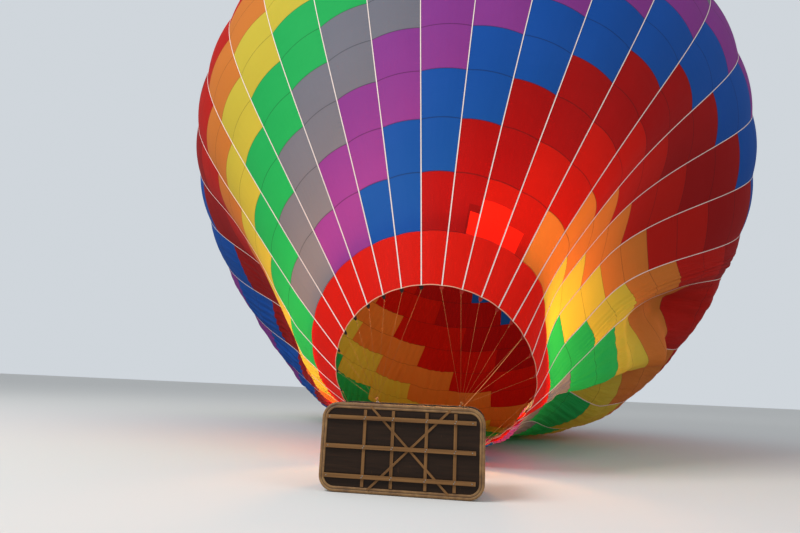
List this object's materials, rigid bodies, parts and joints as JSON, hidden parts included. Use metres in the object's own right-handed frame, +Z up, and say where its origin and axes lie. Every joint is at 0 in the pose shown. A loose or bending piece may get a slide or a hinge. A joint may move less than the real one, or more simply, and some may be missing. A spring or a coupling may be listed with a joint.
{
  "type": "hot air balloon",
  "caption": "Hot air balloon being blown up: leaning cloth envelope with vent panel and tapes, flying wires, load frame with gimballed double burner, poles and a wicker basket lying on its side.",
  "frame": {"origin": "centre of the envelope's widest ring, where the lifting air holds the balloon up", "axes": "+Z up; +Y horizontal, from the basket's floor towards the crown's side; +X to the right of someone who looks along +Y. The basket lies on its long side with its floor facing -Y, and the envelope's axis rises at 35.6 degrees above +Y."},
  "size_m": [21.7713, 24.1493, 20.628],
  "materials": {
    "mouth_cloth": "satin",
    "envelope_cloth": "satin",
    "vent_cloth": "satin",
    "tape_white": "matte",
    "wicker": "matte",
    "floor_board": "matte",
    "edge_leather": "satin",
    "runner_wood": "matte",
    "rim_leather": "satin",
    "cylinder_metal": "satin",
    "frame_steel": "satin",
    "pole_cover": "matte",
    "wire_steel": "satin",
    "burner_paint": "satin",
    "can_steel": "satin",
    "valve_brass": "satin"
  },
  "bodies": {
    "balloon": {"mouth_band": "mouth_cloth", "gores_1": "envelope_cloth", "gores_2": "envelope_cloth", "gores_3": "envelope_cloth", "gores_4": "envelope_cloth", "gores_5": "envelope_cloth", "gores_6": "envelope_cloth", "gores_7": "envelope_cloth", "gores_8": "envelope_cloth", "crown_ring": "tape_white", "basket_wall": "wicker", "basket_floor": "floor_board", "floor_edge_band": "edge_leather", "floor_runners": "runner_wood", "basket_rim": "rim_leather", "basket_partition": "wicker", "fuel_cylinder_1": "cylinder_metal", "fuel_cylinder_2": "cylinder_metal", "fuel_cylinder_3": "cylinder_metal", "fuel_cylinder_4": "cylinder_metal", "load_frame": "frame_steel", "pole_1": "pole_cover", "pole_2": "pole_cover", "pole_3": "pole_cover", "pole_4": "pole_cover", "karabiner_1": "frame_steel", "karabiner_2": "frame_steel", "karabiner_3": "frame_steel", "karabiner_4": "frame_steel", "flying_wires_1": "wire_steel", "flying_wires_2": "wire_steel", "flying_wires_3": "wire_steel", "flying_wires_4": "wire_steel"},
    "vent": {"vent_panel": "vent_cloth"},
    "gimbal": {"gimbal_frame": "frame_steel"},
    "burner": {"burner_frame": "burner_paint", "burner_can_left": "can_steel", "burner_can_right": "can_steel", "burner_coil_left": "can_steel", "burner_coil_right": "can_steel", "burner_valve_left": "valve_brass", "burner_valve_right": "valve_brass"}
  },
  "joints": [
    {"name": "vent_slide", "type": "slide", "parent": "balloon", "child": "vent", "axis": [0, 0.8131, 0.5821], "range_m": [-1.5, 0], "stiffness_N_per_m": 150, "springref_m": 1},
    {"name": "gimbal_pitch", "type": "hinge", "parent": "balloon", "child": "gimbal", "pos_m": [-0.22, -12.70033, -9.80503], "axis": [1, 0, 0], "range_deg": [-35, 5]},
    {"name": "burner_roll", "type": "hinge", "parent": "gimbal", "child": "burner", "pos_m": [-0.22, -12.70033, -9.80503], "axis": [0, -0.2588, 0.9659], "range_deg": [-20, 20]}
  ]
}
